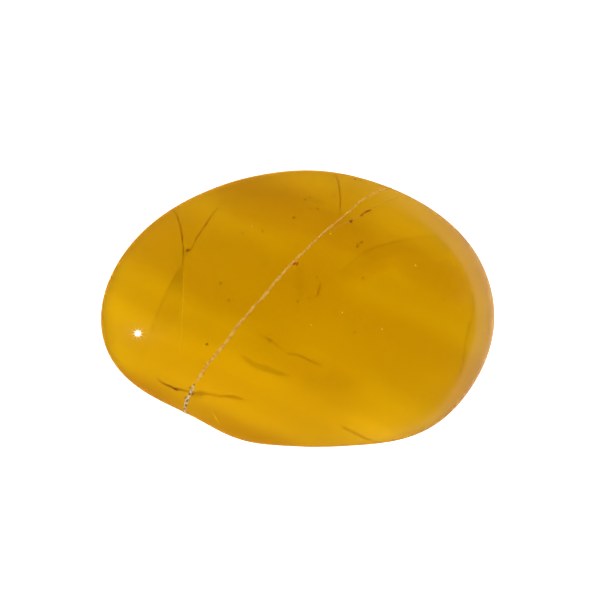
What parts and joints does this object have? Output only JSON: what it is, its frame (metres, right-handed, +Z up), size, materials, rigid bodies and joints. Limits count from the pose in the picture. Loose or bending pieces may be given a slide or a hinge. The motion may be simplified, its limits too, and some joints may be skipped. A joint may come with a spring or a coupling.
{
  "type": "tumbled yellow sapphire pebble",
  "caption": "Smooth, see-through golden sapphire pebble, worn to a low oval with a hollow flank and a steep blunt end; it lies on its flat base.",
  "frame": {"origin": "under the middle of the stone's plan outline, on the surface it rests on", "axes": "+X along the stone's length towards the blunt end with the steep shoulder, +Y across it away from the hollow flank, +Z up"},
  "size_m": [0.026, 0.0184, 0.0089],
  "materials": {
    "sapphire": "polished, see-through golden yellow crystal"
  },
  "bodies": {
    "root": {"stone": "sapphire"}
  },
  "joints": []
}
